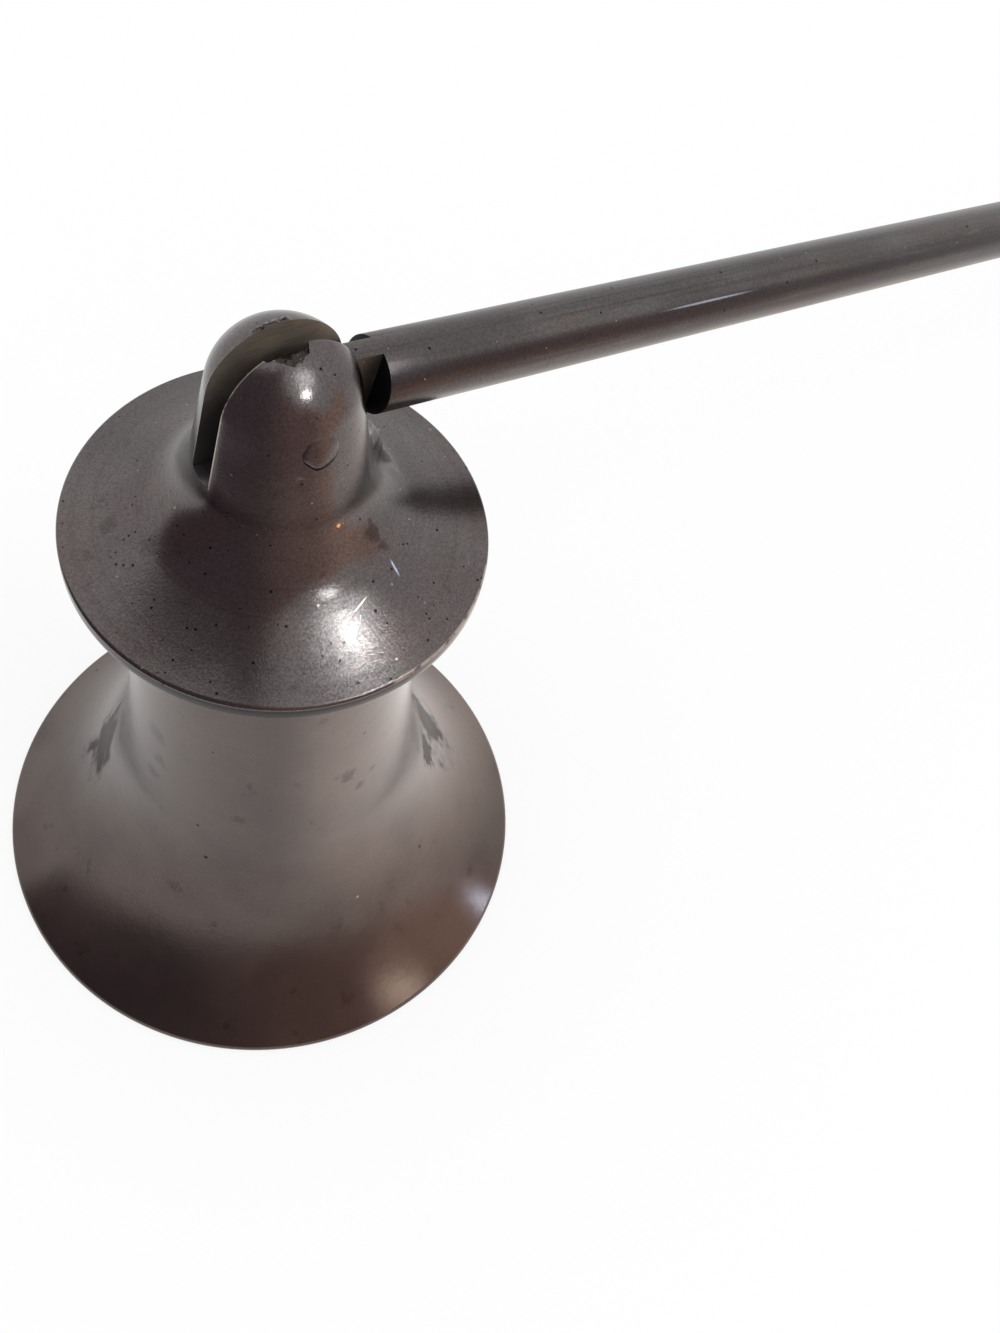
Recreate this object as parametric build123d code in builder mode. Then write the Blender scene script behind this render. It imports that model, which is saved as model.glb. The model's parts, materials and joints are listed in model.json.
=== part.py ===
import os
from math import acos, asin, atan2, cos, degrees, radians, sin, sqrt, tan

from build123d import *

os.makedirs("parts", exist_ok=True)

# A hinged candle snuffer, in millimetres. It stands on the rim of its bell with the far end of its
# handle resting on the same table. The origin is the centre of the rim, +Z is up and the handle
# reaches out along +X.

# Bell: a spun trumpet cup with a closed roof
rim_radius = 22.5
rim_edge = 0.6
neck_base_radius = 11.6
neck_base_height = 18.5
neck_top_radius = 9.8
bell_height = 43.6
bell_wall = 1.2
roof_thickness = 1.4

# Crown: one turned piece, a disc that flares up into a round knob, sawn through to make a fork
disc_radius = 13.8
disc_edge = 1.2
disc_slope = 22.0
flare_radius = 6.5
shank_taper = 9.0
knob_radius = 4.55
knob_rise = 12.4
pivot_drop = 0.1
slot_width = 1.9
slot_depth = 6.7
slot_floor_slope = 19.5
crown_web = 1.6

# Screw and washer that hold the crown on the bell, from inside
screw_radius = 1.5
screw_head_radius = 2.8
screw_head_height = 1.9
screw_head_round = 0.95
screw_slot_width = 0.8
screw_slot_depth = 0.9
washer_radius = 3.6
washer_thickness = 0.6

# Pivot pin, peened over at both ends
pin_radius = 0.85
pin_proud = 0.08
pin_crown = 0.18

# Handle: a round rod with a flat tongue at one end and a turned ball at the other
rod_radius = 2.38
handle_length = 262.0
shoulder_gap = 1.3
ball_radius = 4.0
collar_radius = 3.1
collar_length = 1.6
collar_round = 0.4
ball_neck_radius = 2.0
ball_neck_length = 0.9
spigot_radius = 1.2
spigot_length = 8.0

# Clearances
tongue_clearance = 0.25
pivot_clearance = 0.05
fixed_clearance = 0.02
screw_hole_clearance = 0.2
bore_end_clearance = 0.4

# Two radii closer than this are the same size
same_size = 1e-6

# Where the pieces meet
tongue_thickness = slot_width - 2 * tongue_clearance
shoulder_reach = knob_radius + shoulder_gap
roof_underside = bell_height - roof_thickness
disc_top = bell_height + disc_edge
knob_height = disc_top + knob_rise
pivot_height = knob_height - pivot_drop
slot_floor_height = pivot_height - slot_depth
floor_rate = tan(radians(slot_floor_slope))
crown_bore_radius = screw_radius + fixed_clearance
crown_bore_top = slot_floor_height - crown_bore_radius * floor_rate - crown_web

# The handle droops until its ball touches the table that the rim stands on
droop = asin((pivot_height - ball_radius) / handle_length)
pivot = Vector(0, 0, pivot_height)
along_rod = Vector(cos(droop), 0, -sin(droop))
rod_side = Plane(origin=pivot, x_dir=along_rod, z_dir=(0, -1, 0))
eye_section = Plane(origin=pivot - along_rod * rod_radius, x_dir=(0, 1, 0), z_dir=along_rod)

# Bell outline: the neck is upright at the top, leans out in a slack curve and runs on into one round flare
neck_lean = 2 * atan2(neck_base_radius - neck_top_radius, bell_height - neck_base_height)
neck_curve = (bell_height - neck_base_height) / sin(neck_lean)
neck_out = Vector(cos(neck_lean), sin(neck_lean))
neck_down = Vector(sin(neck_lean), -cos(neck_lean))
neck_top = Vector(neck_top_radius, bell_height)
neck_base = Vector(neck_base_radius, neck_base_height)
rim_top = Vector(rim_radius, rim_edge)
flare_chord = rim_top - neck_base
bell_flare = flare_chord.dot(flare_chord) / (2 * flare_chord.dot(neck_out))
flare_centre = neck_base + neck_out * bell_flare
inner_flare = bell_flare + bell_wall
inner_neck_base = neck_base - neck_out * bell_wall
inner_neck_reach = sqrt((neck_curve + bell_wall) ** 2 - roof_thickness**2)
inner_neck_top = Vector(neck_top_radius + neck_curve - inner_neck_reach, roof_underside)
inner_start = degrees(neck_lean) + 180
inner_sweep = degrees(asin(flare_centre.Y / inner_flare) - neck_lean)
inner_rim = flare_centre.X - sqrt(inner_flare**2 - flare_centre.Y**2)

with BuildPart() as bell:
    with BuildSketch(Plane.XZ):
        with BuildLine():
            Polyline((0, 0), (0, bell_height), neck_top)
            TangentArc(neck_top, neck_base, tangent=(0, -1))
            TangentArc(neck_base, rim_top, tangent=neck_down)
            Polyline(rim_top, (rim_radius, 0), (0, 0))
        make_face()
    revolve(axis=Axis.Z)
    with BuildSketch(Plane.XZ):
        with BuildLine():
            Polyline((inner_rim, 0), (0, 0), (0, roof_underside), inner_neck_top)
            TangentArc(inner_neck_base, inner_neck_top, tangent=-neck_down)
            CenterArc(flare_centre, inner_flare, inner_start, inner_sweep)
        make_face()
    revolve(axis=Axis.Z, mode=Mode.SUBTRACT)
    with Locations((0, 0, bell_height)):
        Hole(screw_radius + screw_hole_clearance, depth=roof_thickness)
bell.part.label = "bell"
export_step(bell.part, "parts/bell.step")

# Crown outline: the sloping disc and the tapered shank meet in a wide round flare below the knob
knob_tangent = Vector(
    knob_radius * cos(radians(shank_taper)),
    knob_height + knob_radius * sin(radians(shank_taper)),
)
shank_rate = tan(radians(shank_taper))
disc_rate = tan(radians(disc_slope))
corner_drop = disc_radius - knob_tangent.X - (knob_tangent.Y - disc_top) / disc_rate
corner_height = knob_tangent.Y + corner_drop / (1 / disc_rate - shank_rate)
corner = Vector(knob_tangent.X + (knob_tangent.Y - corner_height) * shank_rate, corner_height)
knob_top = knob_height + knob_radius

with BuildPart() as crown:
    with BuildSketch(Plane.XZ) as crown_outline:
        with BuildLine():
            Polyline(
                (0, bell_height),
                (disc_radius, bell_height),
                (disc_radius, disc_top),
                corner,
                knob_tangent,
            )
            CenterArc((0, knob_height), knob_radius, shank_taper, 90 - shank_taper)
            Line((0, knob_top), (0, bell_height))
        make_face()
        fillet(crown_outline.vertices().sort_by_distance((corner.X, corner.Y))[0], flare_radius)
    revolve(axis=Axis.Z)
    # the saw cut slopes down towards the handle
    floor_drop = disc_radius * floor_rate
    with BuildSketch(Plane.XZ):
        with BuildLine():
            Polyline(
                (-disc_radius, slot_floor_height + floor_drop),
                (disc_radius, slot_floor_height - floor_drop),
                (disc_radius, knob_top + knob_radius),
                (-disc_radius, knob_top + knob_radius),
                close=True,
            )
        make_face()
    extrude(amount=slot_width / 2, both=True, mode=Mode.SUBTRACT)
    with BuildSketch(Plane.XZ):
        with Locations((0, pivot_height)):
            Circle(pin_radius + fixed_clearance)
    extrude(amount=2 * knob_radius, both=True, mode=Mode.SUBTRACT)
    with BuildSketch(Plane.XY.offset(bell_height)):
        Circle(crown_bore_radius)
    extrude(amount=crown_bore_top - bell_height, mode=Mode.SUBTRACT)
crown.part.label = "crown"
export_step(crown.part, "parts/crown.step")

# Washer under the roof of the bell, and the slotted screw below it
washer_underside = roof_underside - washer_thickness
head_underside = washer_underside - screw_head_height

with BuildPart() as screw_washer:
    with BuildSketch(Plane.XY.offset(washer_underside)):
        Circle(washer_radius)
        Circle(screw_radius + screw_hole_clearance, mode=Mode.SUBTRACT)
    extrude(amount=washer_thickness)
screw_washer.part.label = "screw_washer"
export_step(screw_washer.part, "parts/screw_washer.step")

with BuildPart() as crown_screw:
    with BuildSketch(Plane.XY.offset(head_underside)):
        Circle(screw_head_radius)
    extrude(amount=screw_head_height)
    fillet(crown_screw.edges().sort_by(Axis.Z)[0], screw_head_round)
    with BuildSketch(Plane.XY.offset(head_underside)):
        Rectangle(3 * screw_head_radius, screw_slot_width)
    extrude(amount=screw_slot_depth, mode=Mode.SUBTRACT)
    with BuildSketch(Plane.XY.offset(washer_underside)):
        Circle(screw_radius)
    extrude(amount=crown_bore_top - bore_end_clearance - washer_underside)
crown_screw.part.label = "crown_screw"
export_step(crown_screw.part, "parts/crown_screw.step")

# Pin across the fork, with shallow domed ends that stand a little proud of the knob
pin_shoulder = sqrt(knob_radius**2 - pin_radius**2) + pin_proud
pin_tip = pin_shoulder + pin_crown
dome_radius = (pin_radius**2 + pin_crown**2) / (2 * pin_crown)
dome_mid = pin_tip - dome_radius + sqrt(dome_radius**2 - (pin_radius / 2) ** 2)

with BuildPart() as pivot_pin:
    with BuildSketch(Plane.XY.offset(pivot_height)):
        with BuildLine():
            ThreePointArc((0, -pin_tip), (pin_radius / 2, -dome_mid), (pin_radius, -pin_shoulder))
            Line((pin_radius, -pin_shoulder), (pin_radius, pin_shoulder))
            ThreePointArc((pin_radius, pin_shoulder), (pin_radius / 2, dome_mid), (0, pin_tip))
            Line((0, pin_tip), (0, -pin_tip))
        make_face()
    revolve(axis=Axis(pivot, (0, 1, 0)))
pivot_pin.part.label = "pivot_pin"
export_step(pivot_pin.part, "parts/pivot_pin.step")

# Ball end: a collar against the rod, a short neck and the ball, with a spigot inside the rod
ball_start = handle_length - sqrt(ball_radius**2 - ball_neck_radius**2)
collar_end = ball_start - ball_neck_length
rod_end = collar_end - collar_length

with BuildPart() as handle_rod:
    with BuildSketch(eye_section):
        Circle(rod_radius)
    extrude(amount=rod_radius + rod_end)
    # both sides are milled flat, which leaves the tongue
    for side in (-1, 1):
        with BuildSketch(rod_side.offset(side * tongue_thickness / 2)):
            with Locations(((shoulder_reach - rod_radius) / 2, 0)):
                Rectangle(shoulder_reach + rod_radius, 3 * rod_radius)
        extrude(amount=side * rod_radius, mode=Mode.SUBTRACT)
    # the end of the tongue is rounded about the pivot
    with BuildSketch(rod_side):
        with Locations((-rod_radius, 0)):
            Rectangle(2 * rod_radius, 3 * rod_radius)
        Circle(rod_radius, mode=Mode.SUBTRACT)
    extrude(amount=rod_radius, both=True, mode=Mode.SUBTRACT)
    with BuildSketch(rod_side):
        Circle(pin_radius + pivot_clearance)
    extrude(amount=rod_radius, both=True, mode=Mode.SUBTRACT)
    with BuildSketch(Plane(origin=pivot + along_rod * rod_end, x_dir=(0, 1, 0), z_dir=along_rod)):
        Circle(spigot_radius + fixed_clearance)
    extrude(amount=-(spigot_length + bore_end_clearance), mode=Mode.SUBTRACT)
handle_rod.part.label = "handle_rod"
export_step(handle_rod.part, "parts/handle_rod.step")

with BuildPart() as handle_finial:
    with BuildSketch(rod_side):
        with BuildLine():
            Polyline(
                (rod_end - spigot_length, 0),
                (rod_end - spigot_length, spigot_radius),
                (rod_end, spigot_radius),
                (rod_end, collar_radius),
                (collar_end, collar_radius),
                (collar_end, ball_neck_radius),
                (ball_start, ball_neck_radius),
            )
            ThreePointArc(
                (ball_start, ball_neck_radius),
                (handle_length, ball_radius),
                (handle_length + ball_radius, 0),
            )
            Line((handle_length + ball_radius, 0), (rod_end - spigot_length, 0))
        make_face()
    revolve(axis=Axis(pivot, along_rod))
    rims = handle_finial.edges().filter_by(GeomType.CIRCLE)
    fillet(rims.filter_by(lambda rim: abs(rim.radius - collar_radius) < same_size), collar_round)
handle_finial.part.label = "handle_finial"
export_step(handle_finial.part, "parts/handle_finial.step")

print("droop of the handle at rest:", round(degrees(droop), 3), "degrees")
print("slope of the bell at its rim:", round(degrees(acos((flare_centre.X - rim_radius) / bell_flare)), 1))
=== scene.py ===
import json
import math

import bmesh
import bpy
from mathutils import Matrix, Vector, noise


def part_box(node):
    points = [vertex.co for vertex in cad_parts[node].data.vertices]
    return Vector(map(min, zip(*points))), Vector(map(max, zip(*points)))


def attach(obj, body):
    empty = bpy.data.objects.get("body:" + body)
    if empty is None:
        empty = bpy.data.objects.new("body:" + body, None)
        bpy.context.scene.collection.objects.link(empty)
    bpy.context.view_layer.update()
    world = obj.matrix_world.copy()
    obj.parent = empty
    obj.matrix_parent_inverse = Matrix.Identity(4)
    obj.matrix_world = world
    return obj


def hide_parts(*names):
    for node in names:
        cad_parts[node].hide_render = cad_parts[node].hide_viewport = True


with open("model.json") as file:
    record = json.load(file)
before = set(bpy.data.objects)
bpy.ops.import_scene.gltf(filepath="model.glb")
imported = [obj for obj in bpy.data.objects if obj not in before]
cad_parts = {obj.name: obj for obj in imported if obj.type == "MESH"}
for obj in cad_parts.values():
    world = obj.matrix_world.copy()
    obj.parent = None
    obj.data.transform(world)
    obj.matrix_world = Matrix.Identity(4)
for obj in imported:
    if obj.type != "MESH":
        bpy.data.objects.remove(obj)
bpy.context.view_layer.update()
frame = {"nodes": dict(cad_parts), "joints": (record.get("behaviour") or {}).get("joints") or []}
scene = bpy.context.scene
mm = 0.001
mergeGap = 1e-7  # metres
hair = 1e-6  # nearer than this counts as touching
smoothAngle = math.radians(32)
cutFinish = 1  # places in a piece's list of finishes, where 0 is the outer one
secondCut = 2
turnAcross = Matrix.Rotation(math.pi / 2, 4, "X")  # lays what was spun round Z along Y

hinge = next(joint for joint in frame["joints"] if joint["name"] == "handle_hinge")
pivot = Vector(hinge["pos_m"])
_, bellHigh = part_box("bell")
crownLow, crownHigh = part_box("crown")
_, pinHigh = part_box("pivot_pin")
print("frame loaded")


# outlines are drawn in the XZ plane with operators, then spun
def startOutline(bm, r, z):
    return bm.verts.new((r, 0, z))


def drawRun(bm, vert, end, steps):
    start = vert.co.copy()
    for step in range(1, steps + 1):
        vert = bmesh.ops.extrude_vert_indiv(bm, verts=[vert])["verts"][0]
        vert.co = start.lerp(end, step / steps)
    return vert


def lineTo(bm, vert, r, z, steps=1):
    return drawRun(bm, vert, (r, 0, z), steps)


def arcTo(bm, vert, centre, turn, steps):  # a positive turn goes from +Z towards +X
    made = bmesh.ops.spin(
        bm, geom=[vert], cent=(centre[0], 0, centre[1]), axis=(0, 1, 0), angle=turn, steps=steps
    )
    return next(part for part in made["geom_last"] if isinstance(part, bmesh.types.BMVert))


def spinOutline(bm, steps):
    bmesh.ops.spin(
        bm,
        geom=bm.verts[:] + bm.edges[:],
        cent=(0, 0, 0),
        axis=(0, 0, 1),
        angle=math.tau,
        steps=steps,
        use_merge=True,
    )
    tidyMesh(bm)


def tidyMesh(bm):
    bmesh.ops.remove_doubles(bm, verts=bm.verts, dist=mergeGap)
    bmesh.ops.dissolve_degenerate(bm, edges=bm.edges, dist=mergeGap)
    bmesh.ops.recalc_face_normals(bm, faces=bm.faces)


def sharpEdges(bm, least):
    return [e for e in bm.edges if len(e.link_faces) == 2 and e.calc_face_angle() > least]


def roundEdges(bm, edges, width, segments):
    made = bmesh.ops.bevel(
        bm,
        geom=edges,
        offset=width,
        offset_type="OFFSET",
        segments=segments,
        profile=0.5,
        affect="EDGES",
        clamp_overlap=True,
        material=-1,
    )
    return made["faces"]


def markWearAndHighlight(bm, faces, amount):  # the middle of a rounded edge is where the finish has gone, and on the disc's lit edge a painted highlight
    layer = bm.verts.layers.float.get("wearAndHighlight") or bm.verts.layers.float.new("wearAndHighlight")
    edgeFaces = set(faces)
    for vert in {v for f in faces for v in f.verts}:
        if all(f in edgeFaces for f in vert.link_faces):
            vert[layer] = amount


def drillHole(piece, radius, half, turns=48):  # a hole along Y through the pivot
    bm = bmesh.new()
    bmesh.ops.create_circle(bm, cap_ends=True, segments=turns, radius=radius)
    bmesh.ops.translate(bm, verts=bm.verts, vec=(0, 0, -half))
    made = bmesh.ops.extrude_face_region(bm, geom=bm.faces[:])
    moved = [part for part in made["geom"] if isinstance(part, bmesh.types.BMVert)]
    bmesh.ops.translate(bm, verts=moved, vec=(0, 0, 2 * half))
    bmesh.ops.transform(bm, matrix=Matrix.Translation(pivot) @ turnAcross, verts=bm.verts)
    bmesh.ops.recalc_face_normals(bm, faces=bm.faces)
    mesh = bpy.data.meshes.new("drill")
    bm.to_mesh(mesh)
    bm.free()
    for material in piece.data.materials:
        mesh.materials.append(material)
    for face in mesh.polygons:
        face.material_index = cutFinish
    drill = bpy.data.objects.new("drill", mesh)
    scene.collection.objects.link(drill)
    cut = piece.modifiers.new("hole", "BOOLEAN")
    cut.operation = "DIFFERENCE"
    cut.solver = "EXACT"
    cut.object = drill
    whole = piece.evaluated_get(bpy.context.evaluated_depsgraph_get())
    drilled = bpy.data.meshes.new_from_object(whole)
    piece.modifiers.clear()
    piece.data = drilled
    drilled.name = piece.name
    bpy.data.objects.remove(drill)


def smoothStep(low, high, value):
    share = min(1, max(0, (value - low) / (high - low)))
    return share * share * (3 - 2 * share)


def isFlat(face):  # a sawn or milled flat is one face with many corners
    return len(face.verts) > 4


def finishPiece(bm, name, body, stoodFor, materials, hole=None):
    mesh = bpy.data.meshes.new(name)
    for face in bm.faces:
        face.smooth = face.material_index == 0 or not isFlat(face)
    bm.to_mesh(mesh)
    bm.free()
    mesh.set_sharp_from_angle(angle=smoothAngle)
    for material in materials:
        mesh.materials.append(material)
    piece = bpy.data.objects.new(name, mesh)
    scene.collection.objects.link(piece)
    if hole:
        drillHole(piece, *hole)
    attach(piece, body)
    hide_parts(stoodFor)
    print("made", name, len(piece.data.polygons), "faces")
    return piece


# values of the handle, whose line the brushing follows too
handle = dict(
    rod=2.38 * mm,
    tongueHalf=0.7 * mm,
    shoulder=5.85 * mm,
    ball=4.0 * mm,
    length=262.0 * mm,
    collar=3.1 * mm,
    collarLength=1.6 * mm,
    ballNeck=2.0 * mm,
    ballNeckLength=0.9 * mm,
    spigot=1.2 * mm,
    spigotDepth=8.0 * mm,
    bore=1.22 * mm,
    boreDepth=8.4 * mm,
    eye=0.9 * mm,
    edgeRound=0.1 * mm,
    sharp=math.radians(50),
    ballSharp=math.radians(40),
    tongueWear=0.9,
    turns=120,
    endSteps=24,
    rodSteps=60,
    ballTurns=96,
    ballSteps=40,
)
handleTurn = math.asin((pivot.z - handle["ball"]) / handle["length"])
alongHandle = Matrix.Translation(pivot) @ Matrix.Rotation(handleTurn + math.pi / 2, 4, "Y")
ballStart = handle["length"] - math.sqrt(handle["ball"] ** 2 - handle["ballNeck"] ** 2)
rodEnd = ballStart - handle["ballNeckLength"] - handle["collarLength"]


# materials
def addNode(tree, kind, inputs=None, **settings):
    made = tree.nodes.new(kind)
    for key, value in settings.items():
        setattr(made, key, value)
    for key, value in (inputs or {}).items():
        if isinstance(value, bpy.types.NodeSocket):
            tree.links.new(value, made.inputs[key])
        else:
            made.inputs[key].default_value = value
    return made


def mixColours(tree, factor, first, second):
    mix = addNode(tree, "ShaderNodeMix", data_type="RGBA")
    for key, value in (("Factor_Float", factor), ("A_Color", first), ("B_Color", second)):
        socket = next(s for s in mix.inputs if s.identifier == key)
        if isinstance(value, bpy.types.NodeSocket):
            tree.links.new(value, socket)
        else:
            socket.default_value = value
    return next(s for s in mix.outputs if s.identifier == "Result_Color")


def ramp(tree, value, low, high):
    made = addNode(
        tree,
        "ShaderNodeMapRange",
        {"Value": value, "From Min": low, "From Max": high},
        interpolation_type="SMOOTHSTEP",
    )
    return made.outputs["Result"]


def newMaterial(name):
    material = bpy.data.materials.new(name)
    material.use_nodes = True
    tree = material.node_tree
    shader = tree.nodes["Principled BSDF"]
    place = addNode(tree, "ShaderNodeTexCoord").outputs["Object"]
    return material, tree, shader, place


def noiseAt(tree, place, scale, detail=2.0, rough=0.5):
    inputs = {"Vector": place, "Scale": scale, "Detail": detail, "Roughness": rough}
    return addNode(tree, "ShaderNodeTexNoise", inputs).outputs["Fac"]


def sums(tree, operation, first, second):
    return addNode(tree, "ShaderNodeMath", {0: first, 1: second}, operation=operation).outputs[0]


def times(tree, first, second):
    return sums(tree, "MULTIPLY", first, second)


def vectors(tree, operation, inputs, output="Vector"):
    return addNode(tree, "ShaderNodeVectorMath", inputs, operation=operation).outputs[output]


def layOver(tree, colour, cover, share, paint):
    return mixColours(tree, times(tree, cover, share), colour, paint)


def heightOf(tree, place):
    return addNode(tree, "ShaderNodeSeparateXYZ", {0: place}).outputs["Z"]


def dots(tree, place, scale, size, share):  # small round marks in a share of the cells
    cells = addNode(tree, "ShaderNodeTexVoronoi", {"Vector": place, "Scale": scale})
    chance = addNode(tree, "ShaderNodeSeparateColor", {0: cells.outputs["Color"]})
    spread = times(tree, chance.outputs["Green"], size)
    inside = sums(tree, "LESS_THAN", cells.outputs["Distance"], spread)
    return times(tree, inside, sums(tree, "LESS_THAN", chance.outputs["Red"], share))


spots = dict(finest=2200.0, grain=2.6, ragged=1.5, soft=0.5)  # a large spot has a coarser outline


def spot(tree, place, at, size):  # a ragged mark round one point, in mm
    size = size * mm
    grain = min(spots["finest"], spots["grain"] / size)
    inputs = {"Vector": place, "Scale": grain, "Detail": 4.0}
    ragged = addNode(tree, "ShaderNodeTexNoise", inputs).outputs["Color"]
    shift = vectors(tree, "SUBTRACT", {0: ragged, 1: (0.5, 0.5, 0.5)})
    shift = vectors(tree, "SCALE", {0: shift, "Scale": size * spots["ragged"]})
    moved = vectors(tree, "ADD", {0: place, 1: shift})
    away = vectors(tree, "DISTANCE", {0: moved, 1: Vector(at) * mm}, "Value")
    return ramp(tree, away, size, size * spots["soft"])


def stretched(tree, place, mark):  # a long mark, laid along its own X axis
    run = addNode(
        tree,
        "ShaderNodeMapping",
        {
            "Vector": place,
            "Location": Vector(mark["at"]) * mm,
            "Rotation": mark["turn"],
            "Scale": Vector(mark["size"]) * mm,
        },
        vector_type="TEXTURE",
    ).outputs["Vector"]
    away = vectors(tree, "LENGTH", {0: run}, "Value")
    return ramp(tree, away, 1.0, mark["soft"])


def turnedLines(tree, place, scale):  # rings round the Z axis
    flat = addNode(tree, "ShaderNodeMapping", {"Vector": place, "Scale": (1, 1, 0)}).outputs["Vector"]
    reach = vectors(tree, "LENGTH", {0: flat}, "Value")
    height = heightOf(tree, place)
    ring = addNode(tree, "ShaderNodeCombineXYZ", {0: reach, 1: height}).outputs[0]
    return noiseAt(tree, ring, scale, 3.0)


def drawnLines(tree, place, scale, stretch):  # streaks along the handle
    turned = addNode(
        tree,
        "ShaderNodeMapping",
        {"Vector": place, "Location": pivot, "Rotation": (0, handleTurn, 0), "Scale": (stretch, 1, 1)},
        vector_type="TEXTURE",
    ).outputs["Vector"]
    return noiseAt(tree, turned, scale, 4.0, 0.6)


def surfaceBump(tree, shader, layers):  # each layer is a height from 0 to 1 and its depth in metres
    normal = None
    for height, depth in layers:
        inputs = {"Height": height, "Strength": 1.0, "Distance": depth}
        if normal:
            inputs["Normal"] = normal
        normal = addNode(tree, "ShaderNodeBump", inputs).outputs["Normal"]
    tree.links.new(normal, shader.inputs["Normal"])


bands = dict(  # the part of each noise over which its colour comes in
    cloud=(0.36, 0.66),
    tint=(0.48, 0.7),
    streak=(0.45, 0.7),
    rubbed=(0.62, 0.74),
    lines=(0.5, 0.75),
    blotch=(0.6, 0.72),
    speckle=(0.66, 0.34),
    patchy=(0.34, 0.5),
    goldAndGlints=(0.62, 0.7),
    cuts=(0.5, 0.7),
)


def bronzeFinish(name, look):
    material, tree, shader, place = newMaterial(name)
    cloud = noiseAt(tree, place, look["cloudScale"], 4.0)
    colour = mixColours(tree, ramp(tree, cloud, *bands["cloud"]), look["dark"], look["light"])
    tint = ramp(tree, noiseAt(tree, place, look["tintScale"], 3.0), *bands["tint"])
    colour = layOver(tree, colour, tint, look["tintShare"], look["tint"])
    if look["lines"] == "turned":
        lines = turnedLines(tree, place, look["lineScale"])
    else:
        lines = drawnLines(tree, place, look["lineScale"], look["lineStretch"])
        streak = ramp(tree, drawnLines(tree, place, *look["streakRun"]), *bands["streak"])
        colour = layOver(tree, colour, streak, look["streakShare"], look["streak"])
        rubbed = ramp(tree, drawnLines(tree, place, *look["rubbedRun"]), *bands["rubbed"])
        colour = layOver(tree, colour, rubbed, look["rubbedShare"], look["worn"])
    colour = layOver(tree, colour, ramp(tree, lines, *bands["lines"]), look["lineShare"], look["lineColour"])
    blotch = ramp(tree, noiseAt(tree, place, look["blotchScale"], 5.0, 0.65), *bands["blotch"])
    colour = layOver(tree, colour, blotch, look["blotchShare"], look["stain"])
    for at, size, share, stain in look["marks"]:
        colour = layOver(tree, colour, spot(tree, place, at, size), share, stain)
    for mark in look["streaksAndGlints"]:
        colour = layOver(tree, colour, stretched(tree, place, mark), mark["share"], mark["colour"])
    dull = None
    # painted reflection: dull dark patches laid where the flare mirrors dark things
    for at, size, share, reflectionColour in look["paintedReflections"]:
        paintedDark = times(tree, spot(tree, place, at, size), share)
        colour = mixColours(tree, paintedDark, colour, reflectionColour)
        dull = paintedDark if dull is None else sums(tree, "MAXIMUM", dull, paintedDark)
    speckle = ramp(tree, noiseAt(tree, place, look["speckleScale"], 3.0, 0.7), *bands["speckle"])
    colour = layOver(tree, colour, speckle, look["speckle"], look["speckleColour"])
    pits = dots(tree, place, look["pitScale"], look["pitSize"], look["pitShare"])
    colour = mixColours(tree, pits, colour, look["pit"])
    flecks = dots(tree, place, look["fleckScale"], look["fleckSize"], look["fleckShare"])
    colour = mixColours(tree, flecks, colour, look["fleck"])
    grain = noiseAt(tree, place, look["grainScale"], 2.0, 0.6)
    low, high = look["rough"]
    spread = {"Value": cloud, "From Min": 0.3, "From Max": 0.7, "To Min": low, "To Max": high}
    rough = addNode(tree, "ShaderNodeMapRange", spread).outputs["Result"]
    if "wornDull" in look:  # edges that have lost the finish, and the painted highlight on the disc's lit edge
        wearAndHighlight = addNode(tree, "ShaderNodeAttribute", attribute_name="wearAndHighlight").outputs["Fac"]
        patchy = ramp(tree, noiseAt(tree, place, look["patchScale"], 4.0, 0.6), *bands["patchy"])
        wearAndHighlight = times(tree, wearAndHighlight, patchy)
        colour = mixColours(tree, wearAndHighlight, colour, look["worn"])
        dull = times(tree, wearAndHighlight, look["wornDull"])
    if "darkRim" in look:  # the side of the disc is nearly black
        height = heightOf(tree, place)
        colour = mixColours(tree, ramp(tree, height, *look["darkRim"]), look["rim"], colour)
    tree.links.new(colour, shader.inputs["Base Color"])
    tree.links.new(rough, shader.inputs["Roughness"])
    bare = sums(tree, "SUBTRACT", 1.0, dull)  # the painted dark reflections and the worn edges mirror less
    tree.links.new(bare, shader.inputs["Metallic"])
    tree.links.new(times(tree, bare, 0.5), shader.inputs["Specular IOR Level"])
    peel = noiseAt(tree, place, look["peelScale"], 2.0)
    layers = [(peel, look["peelDepth"]), (grain, look["grainDepth"]), (lines, look["lineDepth"])]
    layers.append((sums(tree, "SUBTRACT", flecks, pits), look["dotDepth"]))
    surfaceBump(tree, shader, layers)
    return material


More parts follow.
